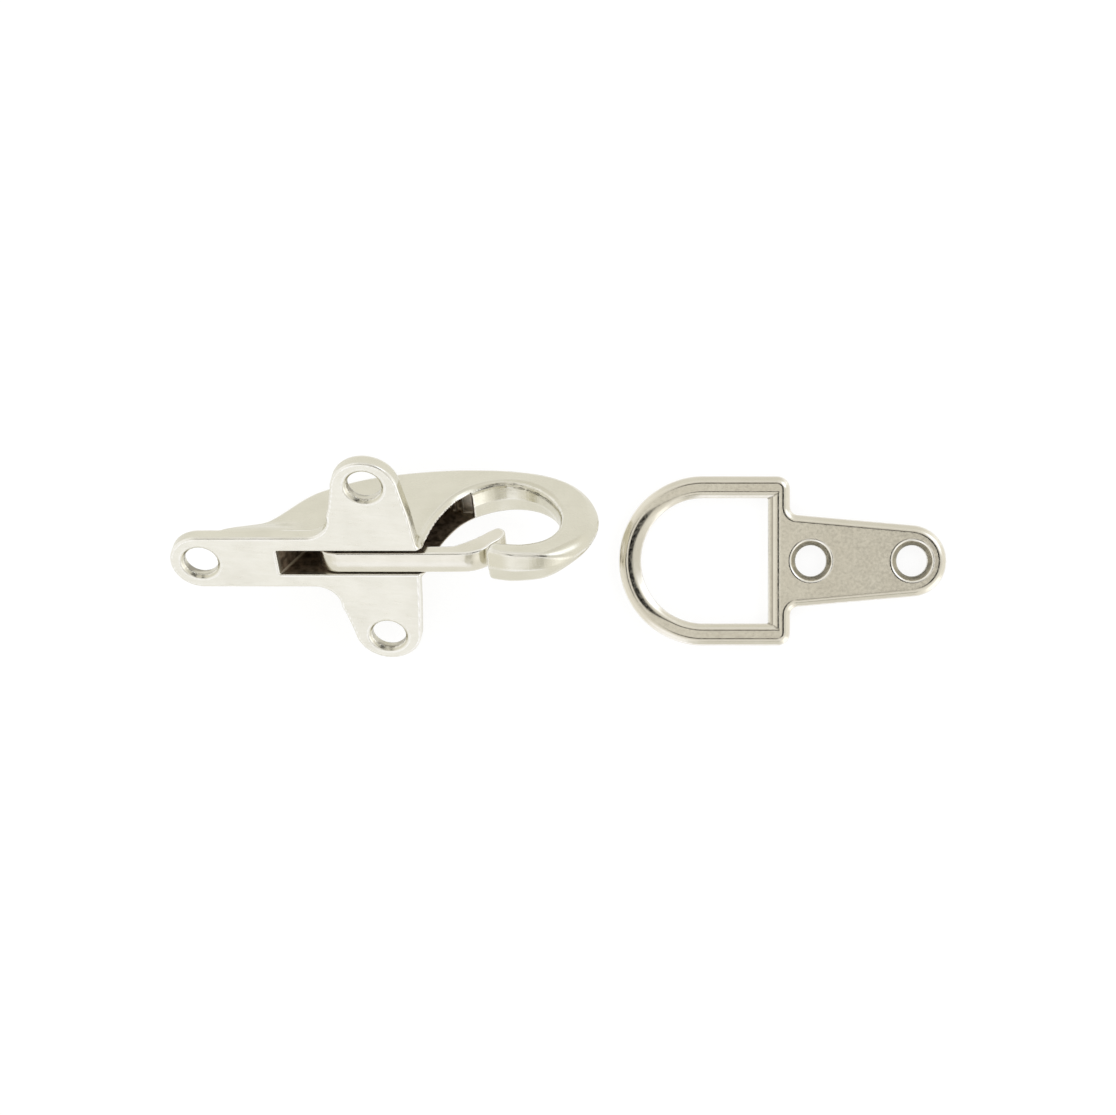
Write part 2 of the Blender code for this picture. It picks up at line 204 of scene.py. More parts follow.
def plate_outline():
    """The three-eared plate, whose two ears differ a little in width."""
    outline = []
    for side, corner_x in ((1, PLATE_LOW_X), (-1, PLATE_HIGH_X)):
        half = [(corner_x, 1.0), (corner_x - 0.55, 7.0)]
        half += arc((0, EAR_END_Y), EAR_RADIUS, 4, 176, 40)
        half += [(EAR_ROOT_X + 0.42, EAR_END_Y - 2.7)]
        half += arc((EAR_ROOT_X - EAR_FILLET, ARM_HALF_WIDTH + EAR_FILLET), EAR_FILLET, 5, -90, 16)
        half += arc((ARM_HOLE_X, 0), ARM_HALF_WIDTH, 90, 179, 24)
        half = [(x, side * y) for x, y in half]
        outline += half if side == 1 else half[::-1]
    return outline


def hull_outline():
    """Outside of the body and hook seen from the side, in X and Z, with the mouth still filled."""
    arm = [(-20.3, 1.0), (-19.0, 2.3), (-16.6, 3.7), (-14.6, 4.9), (-12.9, 6.7), (-10.2, 10.0)]
    back = [(-7.7, 11.8), (-2.8, 13.95), (4.6, 15.3), (11.5, 15.62), (16.3, 15.4), (20.2, 14.7)]
    bend = [(23.3, 13.2), (25.7, 10.7), (26.8, 7.3), (26.2, 3.8), (24.1, 0.95), (21.0, -0.95)]
    nose = [(17.4, -1.45), (14.6, -0.95), (12.4, -0.2), (5.0, 0.6)]
    return smooth_path(arm + back + bend + nose)


def mouth_outline():
    """The mouth of the hook and the gap that the gate closes."""
    nose = [(13.95, -3.0), (13.95, -1.0), (13.95, 0.2), (14.15, 0.95), (15.0, 1.35), (18.2, 1.5)]
    bend = [(20.8, 2.75), (22.1, 5.2), (21.85, 8.0), (20.1, 10.75), (17.5, 12.5), (14.4, 13.0)]
    body = [(11.5, 12.0), (9.1, 10.0), (7.6, 7.4), (6.6, 4.5), (5.95, 0.6), (5.8, -3.0)]
    return smooth_path(nose + bend + body)


def cavity_outline():
    """The slot and the hollow of the body, seen from the side, with a small rib on its roof."""
    slope = math.tan(SLOT_END_SLOPE)
    end = [(SLOT_END_X - 3 * slope, -3.0), (SLOT_END_X + SLOT_END_RISE * slope, SLOT_END_RISE)]
    roof = [(-7.0, 9.0), (-5.0, 10.8), (-1.0, 12.2), (4.0, 13.1), (7.3, 13.3)]
    rib = [(7.4, 12.7), (7.9, 12.7), (8.0, 13.1), (8.7, 13.0), (8.8, 12.3)]
    mouth = [(10.2, 12.2), (11.2, 8.0), (11.2, -3.0)]
    return end + roof + rib + mouth


def gate_outline():
    """Side view of the gate."""
    heel = arc((PIVOT[0], PIVOT[2]), GATE_HEEL, 20, 165, 24)
    heel += smooth_path([(-8.2, 3.7), (-7.85, 2.6), (-7.35, 1.6), (-6.75, 0.78), (-5.9, 0.22), (-5.0, 0.03)])
    face = [(-2.0, 0.02), (4.0, 0.02), (10.0, 0.06), (11.5, 0.2), (12.5, 0.6), (13.35, 1.2)]
    tip = [(14.1, 2.3), (15.0, 3.25), (15.5, 4.25), (15.3, 4.95), (14.8, 5.35), (14.3, 5.35)]
    inside = [(13.6, 4.85), (12.5, 3.85), (11.4, 3.0), (10.2, 2.3), (9.0, GATE_BAR), (4.0, GATE_BAR)]
    return heel + smooth_path(face + tip + inside) + [(-0.4, GATE_BAR), (-1.6, 2.6)]


def keeper_outline():
    """D loop, square shoulders, and a tapering tail with a round end."""
    corner = (LOOP_LENGTH - LOOP_CORNER, LOOP_RADIUS - LOOP_CORNER)
    root_y = TAIL_ROOT_HALF + 0.06 + TAIL_FILLET
    upper = arc((KEEPER_LENGTH - TAIL_END_RADIUS, 0), TAIL_END_RADIUS, 0, 85, 24)
    upper += arc((LOOP_LENGTH + TAIL_FILLET, root_y), TAIL_FILLET, -86, -180, 10)
    upper += arc(corner, LOOP_CORNER, 0, 90, 12)
    upper += arc((LOOP_RADIUS, 0), LOOP_RADIUS, 90, 180, 48)
    return mirrored(upper)


# ---------------------------------------------------------------------------------------------
# Signed distances
# ---------------------------------------------------------------------------------------------
def outline_distance(outline, u, v):
    """Signed distance from points (u, v) to a closed outline, negative inside."""
    points = np.array(outline, float)
    best = np.full(u.shape, 1e9)
    inside = np.zeros(u.shape, bool)
    for (ax, ay), (bx, by) in zip(points, np.roll(points, -1, 0)):
        ex, ey = bx - ax, by - ay
        length = ex * ex + ey * ey
        if length < 1e-12:
            continue
        wx, wy = u - ax, v - ay
        t = np.clip((wx * ex + wy * ey) / length, 0, 1)
        best = np.minimum(best, (wx - ex * t) ** 2 + (wy - ey * t) ** 2)
        crosses = (ay <= v) != (by <= v)
        if ey != 0:
            inside ^= crosses & (u < ax + (v - ay) * ex / ey)
    return np.where(inside, -1, 1) * np.sqrt(best)


class Field:
    """Signed distance to an outline, tabulated once on a plane and then read off between the points."""

    def __init__(self, outline, step=0.08, margin=2.5):
        points = np.array(outline, float)
        self.low = points.min(0) - margin
        counts = np.ceil((points.max(0) + margin - self.low) / step).astype(int) + 1
        self.step = step
        u = self.low[0] + step * np.arange(counts[0])
        v = self.low[1] + step * np.arange(counts[1])
        self.table = outline_distance(outline, *np.meshgrid(u, v, indexing="ij"))

    def __call__(self, u, v):
        table = self.table
        a = np.clip((u - self.low[0]) / self.step, 0, table.shape[0] - 1.001)
        b = np.clip((v - self.low[1]) / self.step, 0, table.shape[1] - 1.001)
        i, j = a.astype(int), b.astype(int)
        s, t = a - i, b - j
        low = table[i, j] * (1 - t) + table[i, j + 1] * t
        high = table[i + 1, j] * (1 - t) + table[i + 1, j + 1] * t
        return low * (1 - s) + high * s


def smooth_step(value, low, high):
    """0 below low, 1 above high, smooth between."""
    t = np.clip((value - low) / (high - low), 0, 1)
    return t * t * (3 - 2 * t)


def meet(a, b, radius):
    """Intersection of two solids, its edge rounded to a radius."""
    corner = np.hypot(np.maximum(a + radius, 0), np.maximum(b + radius, 0))
    return np.minimum(np.maximum(a, b), -radius) + corner


def join(a, b, radius):
    """Union of two solids with a fillet of a radius."""
    return -meet(-a, -b, radius)


def cut(a, tool, radius):
    """Solid a without the tool, the edge rounded to a radius."""
    return meet(a, -tool, radius)


def bow_half_width(x):
    """Half the body's width: parallel at first, then drawn in like the bow of a boat."""
    along = np.clip((x - BOW_START_X) / BOW_LENGTH, 0, BOW_END)
    return BODY_HALF_WIDTH * np.sqrt(1 - along**2)


def pin_hole(x, z, room):
    """The cross bore for the gate's pin."""
    return np.hypot(x - PIVOT[0], z - PIVOT[2]) - (PIN_RADIUS + room)


class HookBody:
    """The hook catch casting."""

    def __init__(self):
        self.hull = Field(hull_outline())
        self.mouth = Field(mouth_outline())
        self.plate = Field(plate_outline())
        self.cavity = Field(cavity_outline())

    def hollow(self, x, y, z):
        """The slot and the hollow inside the body."""
        return meet(self.cavity(x, z), np.abs(y) - SLOT_HALF, HOLLOW_CORNER)

    def side(self, x, y, z):
        """The two side walls, which flare towards the plate along the arm."""
        flare = (1 - smooth_step(z, 1.4, 5.5)) * (1 - smooth_step(x, -12.0, -6.5))
        return np.abs(y) - bow_half_width(x) - FLARE * flare

    def blank(self, x, y, z, side):
        """Body and hook with the mouth still filled: rounder outside the bend, crowned under the nose."""
        around = np.degrees(np.arctan2(z - BEND_Z, x - BEND_X))
        soft = smooth_step(around, -75, -35) * (1 - smooth_step(around, 5, 60))
        under = smooth_step(x, 12.5, 14.5) * (1 - smooth_step(x, 18.0, 24.0)) * (z < 8.0)
        crown = np.sqrt(y**2 + 0.01) / bow_half_width(x)
        hull = self.hull(x, z) + NOSE_CROWN * under * crown
        return meet(hull, side, HULL_EDGE + BEND_EDGE_EXTRA * soft)

    def open_mouth(self, body, x, y, z, side):
        """Cut the mouth, with a ridge at the parting line and chamfered edges."""
        across = np.clip(1 - np.abs(y) / bow_half_width(x), 0, 1)
        mouth = self.mouth(x, z) + PARTING_RIDGE * smooth_step(z, 0.5, 2.5) * across
        chamfer = MOUTH_CHAMFER + MOUTH_CHAMFER_EXTRA * (1 - smooth_step(x, 9.0, 14.0))
        body = meet(body, -mouth, FINE_EDGE)
        return meet(body, (side - mouth + chamfer) * DIAGONAL, 0.2 + 0.2 * smooth_step(x, 14.0, 19.0))

    def add_plate(self, body, x, y, z):
        """Join the plate to the body, and level both at the back; the nose may reach past it."""
        plate = meet(self.plate(x, y), z - PLATE_THICKNESS, PLATE_EDGE)
        body = join(body, plate, 0.05 + 0.75 * smooth_step(x, -12.0, -7.5))
        return meet(body, np.where(x < 9.0, -z, -3.0), FLOOR_EDGE)

    def drill(self, body, x, y, z):
        """Cut the screw holes, chamfered at the back and countersunk at the front."""
        for hole_x, hole_y in HOOK_HOLES:
            bore = np.hypot(x - hole_x, y - hole_y) - SCREW_BORE / 2
            rim = (bore - RIM_DEPTH + z) * DIAGONAL
            sink = (bore - z + PLATE_THICKNESS - SINK_DEPTH) * DIAGONAL
            hole = np.minimum(bore, np.minimum(rim, sink))
            body = cut(body, np.where(z < PLATE_THICKNESS + 0.8, hole, 5.0), FINE_EDGE)
        return body

    def __call__(self, p):
        x, y, z = p
        side = self.side(x, y, z)
        body = self.blank(x, y, z, side)
        body = self.open_mouth(body, x, y, z, side)
        body = self.add_plate(body, x, y, z)
        body = cut(body, self.hollow(x, y, z), SLOT_EDGE)
        body = self.drill(body, x, y, z)
        return cut(body, pin_hole(x, z, PIN_ROOM), PIN_EDGE)


class Gate:
    """The gate lever, its outer face crowned."""

    def __init__(self):
        self.side = Field(gate_outline(), step=0.05)

    def __call__(self, p):
        x, y, z = p
        y = y - GATE_PLAY
        crown = GATE_CROWN * (y / GATE_HALF) ** 2
        outline = self.side(x, z - crown * np.clip(1 - z / 1.6, 0, 1))
        gate = meet(outline, np.abs(y) - GATE_HALF, GATE_EDGE)
        return cut(gate, pin_hole(x, z, GATE_PIN_ROOM), PIN_EDGE)


class Keeper:
    """The keeper plate, a flat crown between bevels."""

    def __init__(self):
        self.outer = Field(keeper_outline())

    def bevel(self, away, z, width, drop=0.52):
        """Slope that falls by drop over a width, towards the opening."""
        fall = np.arctan(drop / width)
        return (width - away) * np.sin(fall) + (z - KEEPER_THICKNESS) * np.cos(fall)

    def outer_bevel(self, outer, x, z):
        """Slope along the outside, a little narrower on the tail."""
        tail = smooth_step(x, LOOP_LENGTH - 1.0, LOOP_LENGTH + 2.0)
        width = KEEPER_BEVEL - 0.03 * tail
        across, down = math.sin(KEEPER_BEVEL_SLOPE), math.cos(KEEPER_BEVEL_SLOPE)
        return (outer + width) * across + (z - KEEPER_THICKNESS) * down

    def drill(self, solid, x, y, z):
        """Cut the two countersunk screw holes."""
        for hole_x in KEEPER_HOLES_X:
            away = np.hypot(x - hole_x, y) - KEEPER_BORE / 2
            height = z - KEEPER_THICKNESS + KEEPER_SINK_DEPTH
            cone = away * math.cos(KEEPER_SINK_ANGLE) - height * math.sin(KEEPER_SINK_ANGLE) / 2
            solid = cut(solid, np.minimum(away, cone), FINE_EDGE)
        return solid

    def __call__(self, p):
        x, y, z = p
        outer = self.outer(x, y)
        left = 1 - smooth_step(x, 1.5, 7.0)
        from_bar = LOOP_LENGTH - LOOP_BAR - x
        from_loop = np.where(x < LOOP_RADIUS, np.hypot(x - LOOP_RADIUS, y), np.abs(y)) - LOOP_OPENING
        opening = np.maximum(from_loop, -from_bar)
        bar = np.minimum(*(self.bevel(-from_bar, z, width, drop) for width, drop in BAR_BEVELS))
        inner = np.minimum(self.bevel(from_loop, z, LOOP_BEVEL + LOOP_BEVEL_EXTRA * left), bar)
        crown = meet(z - KEEPER_THICKNESS, self.outer_bevel(outer, x, z), KEEPER_CROWN_EDGE + 0.1 * left)
        solid = meet(meet(outer, -z, KEEPER_FOOT_EDGE), -opening, FINE_EDGE)
        solid = meet(solid, meet(crown, inner, KEEPER_INNER_EDGE), FINE_EDGE)
        return self.drill(solid, x, y, z)


# ---------------------------------------------------------------------------------------------
# Surface
# ---------------------------------------------------------------------------------------------
def sample_grid(solid, low, high, step):
    """The axes of a grid round a solid, and the signed distances on it."""
    axes = [np.arange(a - 2 * step, b + 3 * step, step) for a, b in zip(low, high)]
    x, y, z = np.meshgrid(*axes, indexing="ij")
    return axes, solid((x, y, z)).astype(np.float32)


def active_cells(inside):
    """Cells that the surface passes, and each cell's place in that list, or -1."""
    cells = np.zeros(tuple(n - 1 for n in inside.shape), np.int32)
    nx, ny, nz = cells.shape
    for i, j, k in np.ndindex(2, 2, 2):
        cells += inside[i:i + nx, j:j + ny, k:k + nz]
    active = (cells > 0) & (cells < 8)
    index = np.full(cells.shape, -1, np.int64)
    where = np.argwhere(active)
    index[active] = np.arange(len(where))
    return where, index


def cell_points(values, where):
    """One point in each active cell: the mean of the places where its edges cross the surface."""
    total = np.zeros((len(where), 3))
    count = np.zeros(len(where))
    for axis in range(3):
        for corner in np.ndindex(2, 2, 2):
            if corner[axis]:
                continue
            a = where + np.array(corner)
            b = a.copy()
            b[:, axis] += 1
            va = values[tuple(a.T)]
            vb = values[tuple(b.T)]
            crossed = (va < 0) != (vb < 0)
            point = a.astype(float)
            point[:, axis] += np.where(crossed, va / np.where(crossed, va - vb, 1), 0)
            total[crossed] += point[crossed]
            count[crossed] += 1
    return total / count[:, None]


def crossing_quads(inside, index, axis):
    """One quad round each grid edge along an axis that crosses the surface, facing outwards."""
    one, two = [n for n in range(3) if n != axis]
    shape = inside.shape
    first = [slice(1, n - 1) for n in shape]
    first[axis] = slice(0, shape[axis] - 1)
    second = list(first)
    second[axis] = slice(1, shape[axis])
    start, stop = inside[tuple(first)], inside[tuple(second)]
    spot = np.argwhere(start != stop)
    leaving = start[tuple(spot.T)]
    offset = np.ones(3, int)
    offset[axis] = 0
    spot = spot + offset
    ring = []
    for da, db in ((1, 1), (0, 1), (0, 0), (1, 0)):
        cell = spot.copy()
        cell[:, one] -= da
        cell[:, two] -= db
        ring.append(index[tuple(cell.T)])
    quad = np.stack(ring, 1)
    outwards = leaving if axis != 1 else ~leaving
    quad[~outwards] = quad[~outwards][:, ::-1]
    return quad


def surface_net(values):
    """Dual surface of a grid: a point in each cell that it passes, a quad for each edge that crosses it."""
    inside = values < 0
    where, index = active_cells(inside)
    quads = [crossing_quads(inside, index, axis) for axis in range(3)]
    return cell_points(values, where), np.vstack(quads)


def gradient(solid, points, step=0.01):
    """Direction in which the signed distance grows fastest."""
    result = np.zeros_like(points)
    for axis in range(3):
        ahead, behind = points.copy(), points.copy()
        ahead[:, axis] += step
        behind[:, axis] -= step
        result[:, axis] = (solid(ahead.T) - solid(behind.T)) / (2 * step)
    return result


def unit_gradient(solid, points):
    """The gradient at each point, scaled to length 1."""
    slope = gradient(solid, points)
    return slope / np.maximum(np.linalg.norm(slope, axis=1), 1e-9)[:, None]


def settle(solid, points, rounds=4):
    """Move points onto the surface by a few Newton steps."""
    limit = 0.5 * GRID_STEP
    for _ in range(rounds):
        slope = gradient(solid, points)
        size = np.maximum((slope**2).sum(1), 0.2)
        step = slope * (solid(points.T) / size)[:, None]
        reach = np.maximum(np.linalg.norm(step, axis=1), 1e-9)
        points = points - step * np.minimum(1, limit / reach)[:, None]
    return points


def quad_mesh(name, points, quads):
    """A smooth mesh of quads, its points in metres."""
    mesh = bpy.data.meshes.new(name)
    mesh.vertices.add(len(points))
    mesh.vertices.foreach_set("co", points.astype(np.float32).ravel())
    mesh.loops.add(4 * len(quads))
    mesh.loops.foreach_set("vertex_index", quads.astype(np.int32).ravel())
    mesh.polygons.add(len(quads))
    mesh.polygons.foreach_set("loop_start", np.arange(0, 4 * len(quads), 4, dtype=np.int32))
    mesh.update(calc_edges=True)
    mesh.validate()
    mesh.shade_smooth()
    return mesh


def keep_in_box(mesh):
    """Hold every point inside the CAD box, which the finer surface could overstep by a hair."""
    world = np.zeros(3 * len(mesh.vertices), np.float32)
    mesh.vertices.foreach_get("co", world)
    low, high = (np.array(corner, np.float32) for corner in CAD_BOX)
    mesh.vertices.foreach_set("co", np.clip(world.reshape(-1, 3), low, high).ravel())
    mesh.update()


def add_object(name, mesh):
    """Put a mesh into the scene as an object."""
    obj = bpy.data.objects.new(name, mesh)
    bpy.context.scene.collection.objects.link(obj)
    return obj


def skin(name, solid, low, high, place, step=GRID_STEP):
    """Build one mesh object from a solid, in the frame of place; its points come back in millimetres."""
    axes, values = sample_grid(solid, low, high, step)
    points, quads = surface_net(values)
    points = settle(solid, np.array([axis[0] for axis in axes]) + points * step)
    mesh = quad_mesh(name, points * MM, quads)
    mesh.normals_split_custom_set_from_vertices(unit_gradient(solid, points).tolist())
    mesh.transform(place)
    keep_in_box(mesh)
    return add_object(name, mesh), points


def bending(solid, points, reach=0.12):
    """Mean bending of the surface at each point: positive on outside edges, negative in inside corners."""
    total = np.zeros(len(points))
    for axis in range(3):
        for sign in (-1, 1):
            moved = points.copy()
            moved[:, axis] += sign * reach
            total += sign * unit_gradient(solid, moved)[:, axis]
    return total / (2 * reach)


def mark(obj, name, values):
    """Store one number per vertex for a material to read."""
    attribute = obj.data.attributes.new(name, "FLOAT", "POINT")
    attribute.data.foreach_set("value", np.asarray(values, np.float32))


def mark_edges(obj, solid, points, faint=0.8, full=3.0):
    """Mark outside edges, which carry a painted highlight, and inside corners, which carry painted shade from
    faint to full.
    """
    bend = bending(solid, points)
    # The edge mask carries a painted highlight; the corner mask carries painted shade.
    mark(obj, "edge", smooth_step(bend, 0.5, 2.5))
    mark(obj, "corner", smooth_step(-bend, faint, full))


# ---------------------------------------------------------------------------------------------
# Materials
# ---------------------------------------------------------------------------------------------
# Painted highlight on outside edges, and painted shade in inside corners.
PAINTED_EDGE_HIGHLIGHT = (0.93, 0.92, 0.88, 1)
SHADED_CORNER = (0.20, 0.18, 0.14, 1)
# Painted brown shade in the hollow, and a painted highlight on its edges.
HOLLOW_SHADE_DARK = (0.13, 0.095, 0.062, 1)
HOLLOW_SHADE_LIGHT = (0.38, 0.30, 0.215, 1)
HOLLOW_EDGE_HIGHLIGHT = (0.66, 0.59, 0.47, 1)
# Painted shade in the screw holes of the hook and of the keeper.
HOOK_BORE_SHADE = (0.22, 0.20, 0.16, 1)
KEEPER_BORE_SHADE = (0.45, 0.44, 0.40, 1)

# Places of the colour sockets in a Mix node, whose sockets for numbers and vectors have the same names.
MIX_FIRST_COLOR = 6
MIX_SECOND_COLOR = 7
MIX_RESULT_COLOR = 2


class Nodes:
    """Small helper to write a node tree compactly."""

    def __init__(self, tree):
        self.tree = tree
        self.shader = tree.nodes.get("Principled BSDF")

    def add(self, kind, **inputs):
        """A new node, its inputs set by name or linked."""
        node = self.tree.nodes.new(kind)
        for key, value in inputs.items():
            self.put(node.inputs[key.replace("_", " ")], value)
        return node

    def put(self, socket, value):
        """Link another node's output to a socket, or set its value."""
        if isinstance(value, bpy.types.NodeSocket):
            self.tree.links.new(value, socket)
        else:
            socket.default_value = value

    def noise(self, scale, detail=3.0, stretch=(1, 1, 1), turn=(0, 0, 0)):
        """Noise in the piece's own space, in metres, stretched along an axis."""
        place = self.add("ShaderNodeTexCoord").outputs["Object"]
        mapping = self.add("ShaderNodeMapping", Vector=place, Scale=stretch, Rotation=turn)
        noise = self.add("ShaderNodeTexNoise", Vector=mapping.outputs[0], Scale=scale, Detail=detail)
        return noise.outputs[0]

    def remap(self, value, low, high, start, stop):
        """The range from low to high, moved to the range from start to stop."""
        ranges = {"From Min": low, "From Max": high, "To Min": start, "To Max": stop}
        return self.add("ShaderNodeMapRange", Value=value, **ranges).outputs[0]

    def mix(self, factor, one, two):
        """A colour between two colours."""
        node = self.add("ShaderNodeMix")
        node.data_type = "RGBA"
        self.put(node.inputs[0], factor)
        self.put(node.inputs[MIX_FIRST_COLOR], one)
        self.put(node.inputs[MIX_SECOND_COLOR], two)
        return node.outputs[MIX_RESULT_COLOR]

    def maths(self, operation, one, two):
        """One operation on two numbers."""
        node = self.add("ShaderNodeMath")
        node.operation = operation
        self.put(node.inputs[0], one)
        self.put(node.inputs[1], two)
        return node.outputs[0]

    def plus(self, one, two):
        """Two numbers added."""
        return self.maths("ADD", one, two)

    def times(self, one, two):
        """Two numbers multiplied."""
        return self.maths("MULTIPLY", one, two)

    def attribute(self, name):
        """A number marked on the mesh, 0 where the mesh has none."""
        node = self.add("ShaderNodeAttribute")
        node.attribute_name = name
        return node.outputs["Fac"]


def new_material(name):
    """An empty material and the helper that writes its nodes."""
    material = bpy.data.materials.new(name)
    material.use_nodes = True
    return material, Nodes(material.node_tree)


def hollow_shade_tone(nodes):
    """Painted brown shade inside the hook, mottled, with a painted highlight along its edges and corners."""
    hollow_mottle = nodes.noise(1500.0, 5.0)
    dark = nodes.mix(nodes.remap(hollow_mottle, 0.35, 0.65, 0.0, 1.0), HOLLOW_SHADE_DARK, HOLLOW_SHADE_LIGHT)
    # Painted highlight on the edges and inside corners of the hollow.
    rim = nodes.maths("MAXIMUM", nodes.attribute("edge"), nodes.attribute("corner"))
    return nodes.mix(nodes.times(rim, 0.75), dark, HOLLOW_EDGE_HIGHLIGHT)


def nickel_tone(nodes, light, dark):
    """Faintly cloudy nickel, with a painted highlight on its edges and painted shade in its corners."""
    cloud = nodes.noise(260.0, 4.0)
    tone = nodes.mix(nodes.remap(cloud, 0.35, 0.7, 0.0, 1.0), (*light, 1), (*dark, 1))
    # Painted highlight along the outside edges, patchy with the cloud noise.
    edge_highlight = nodes.times(nodes.attribute("edge"), nodes.remap(cloud, 0.3, 0.7, 0.35, 0.85))
    tone = nodes.mix(edge_highlight, tone, PAINTED_EDGE_HIGHLIGHT)
    return nodes.mix(nodes.times(nodes.attribute("corner"), 0.6), tone, SHADED_CORNER)


def nickel(name, light, dark, roughness, grind=0.0, turn=(0, 0, 0), hollow=False, streak=0.12):
    """Nickel plate: cloudy tone, fine grinding marks, tiny casting dimples, painted shade in the holes, and,
    for hollow pieces, painted shade in the hollow.
    """
    material, nodes = new_material(name)
    fine = nodes.noise(2600.0, 3.0, (streak, 1, 1), turn)
    pits = nodes.noise(900.0, 5.0)
    flow = nodes.noise(700.0, 2.0, (0.3, 1.2, 1.0))
    dimples = 0.35 if grind > 0.25 else 0.12
    height = nodes.plus(nodes.times(fine, grind), nodes.times(pits, dimples))
    rough = nodes.plus(nodes.remap(fine, 0.3, 0.7, roughness - 0.05, roughness + 0.07),
                       nodes.remap(pits, 0.4, 0.8, 0.0, 0.05))
    tone = nickel_tone(nodes, light, dark)
    if hollow:
        # Painted shade in the hollow, with rougher, bumpier walls there.
        hollow_shade = nodes.attribute("hollow")
        tone = nodes.mix(hollow_shade, tone, hollow_shade_tone(nodes))
        rough = nodes.plus(rough, nodes.times(hollow_shade, 0.35))
        height = nodes.plus(height, nodes.times(nodes.attribute("wall"), nodes.times(flow, 30.0)))
    # Painted shade in the screw holes, blotchy with the flow noise.
    bore_shade = nodes.times(nodes.attribute("bore"), nodes.remap(flow, 0.42, 0.60, 0.12, 0.75))
    tone = nodes.mix(bore_shade, tone, HOOK_BORE_SHADE if hollow else KEEPER_BORE_SHADE)
    bump = nodes.add("ShaderNodeBump", Height=height, Strength=0.12, Distance=0.00005)
    nodes.put(nodes.shader.inputs["Metallic"], 1.0)
    nodes.put(nodes.shader.inputs["Base Color"], tone)
    nodes.put(nodes.shader.inputs["Roughness"], rough)
    nodes.put(nodes.shader.inputs["Normal"], bump.outputs[0])
    return material


def spring_wire(name):
    """Drawn spring wire, darker than the nickel and mottled."""
    material, nodes = new_material(name)
    mottle = nodes.noise(1800.0, 4.0)
    nodes.put(nodes.shader.inputs["Metallic"], 1.0)
    nodes.put(nodes.shader.inputs["Base Color"],
              nodes.mix(mottle, (0.16, 0.14, 0.12, 1), (0.32, 0.30, 0.27, 1)))
    nodes.put(nodes.shader.inputs["Roughness"], nodes.remap(mottle, 0.3, 0.7, 0.3, 0.5))
    return material


# ---------------------------------------------------------------------------------------------
# Pieces
# ---------------------------------------------------------------------------------------------
def assign(obj, material, body, node):
    """Give a piece its material and body, and hide the CAD node it stands for."""
    obj.data.materials.clear()
    obj.data.materials.append(material)
    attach(obj, body)
    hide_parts(node)


def mark_hook(obj, solid, points):
    """Mark the hook's edges, the walls of its mouth and holes, and the painted shade inside it."""
    x, y, z = points.T
    mark_edges(obj, solid, points)
    bore = np.zeros(len(points), bool)
    for hole_x, hole_y in HOOK_HOLES:
        bore |= np.hypot(x - hole_x, y - hole_y) < SCREW_BORE / 2 + 0.05
    mark(obj, "wall", bore | ((np.abs(solid.mouth(x, z)) < 0.08) & (z > 1.0)))
    # The bore mask carries painted shade in the screw holes.
    mark(obj, "bore", bore & (z < PLATE_THICKNESS))
    # The hollow mask carries painted shade inside the slot and the hollow, fading in from the back and weaker
    # on the rib's ledge.
    near_wall = (np.abs(solid.hollow(x, y, z)) < 0.12) & (x < 11.0)
    ledge = smooth_step(x, 8.2, 8.9) * smooth_step(z, 11.0, 12.0)
    mark(obj, "hollow", smooth_step(z, 0.05, 0.7) * near_wall * (1 - 0.35 * ledge))


def make_hook_body():
    """The hook catch casting, ground at a slant along its length."""
    solid = HookBody()
    low, high = (-26.2, -15.5, -1.7), (27.0, 15.5, 15.9)
    obj, points = skin("hook_casting", solid, low, high, HOOK_FRAME)
    mark_hook(obj, solid, points)
    light, dark = (0.685, 0.66, 0.548), (0.64, 0.615, 0.505)
    material = nickel("nickel_hook", light, dark, 0.20, 0.6, (0, 0, math.radians(20)), hollow=True)
    assign(obj, material, "hook", "hook_body")


def make_gate():
    """The gate lever, with painted shade on its flanks and on the side that faces the hollow."""
    solid = Gate()
    low, high = (-8.6, -1.5, -0.2), (15.8, 2.0, 7.0)
    obj, points = skin("gate_casting", solid, low, high, HOOK_FRAME, GRID_STEP * 0.7)
    x, y, z = points.T
    mark_edges(obj, solid, points)
    # The hollow mask carries painted shade on the gate's flanks and on its inner side.
    flank = smooth_step(np.abs(y - GATE_PLAY), GATE_HALF - 0.2, GATE_HALF - 0.02) * smooth_step(z, 0.25, 0.55)
    inner = smooth_step(z, 2.2, 4.2)
    mark(obj, "hollow", np.maximum(flank, 0.8 * inner) * (1 - smooth_step(x, 5.2, 6.2)))
    light, dark = (0.70, 0.67, 0.565), (0.65, 0.62, 0.51)
    material = nickel("nickel_gate", light, dark, 0.18, 0.3, hollow=True)
    assign(obj, material, "gate", "gate_lever")


def make_keeper():
    """The keeper plate, polished, with painted grey shade in its screw holes."""
    solid = Keeper()
    low, high = (0.0, -LOOP_RADIUS, 0.0), (KEEPER_LENGTH, LOOP_RADIUS, KEEPER_THICKNESS)
    obj, points = skin("keeper_casting", solid, low, high, KEEPER_FRAME, GRID_STEP * 0.8)
    x, y, z = points.T
    mark_edges(obj, solid, points, faint=0.25, full=0.9)
    to_hole = np.minimum(*(np.hypot(x - hole_x, y) for hole_x in KEEPER_HOLES_X))
    # The bore mask carries painted grey shade in and round the screw holes.
    mark(obj, "bore", to_hole < KEEPER_BORE / 2 + 0.42)
    light, dark = (0.74, 0.705, 0.60), (0.70, 0.66, 0.555)
    material = nickel("nickel_keeper", light, dark, 0.14, 0.1, streak=1.0)
    assign(obj, material, "keeper", "keeper_plate")


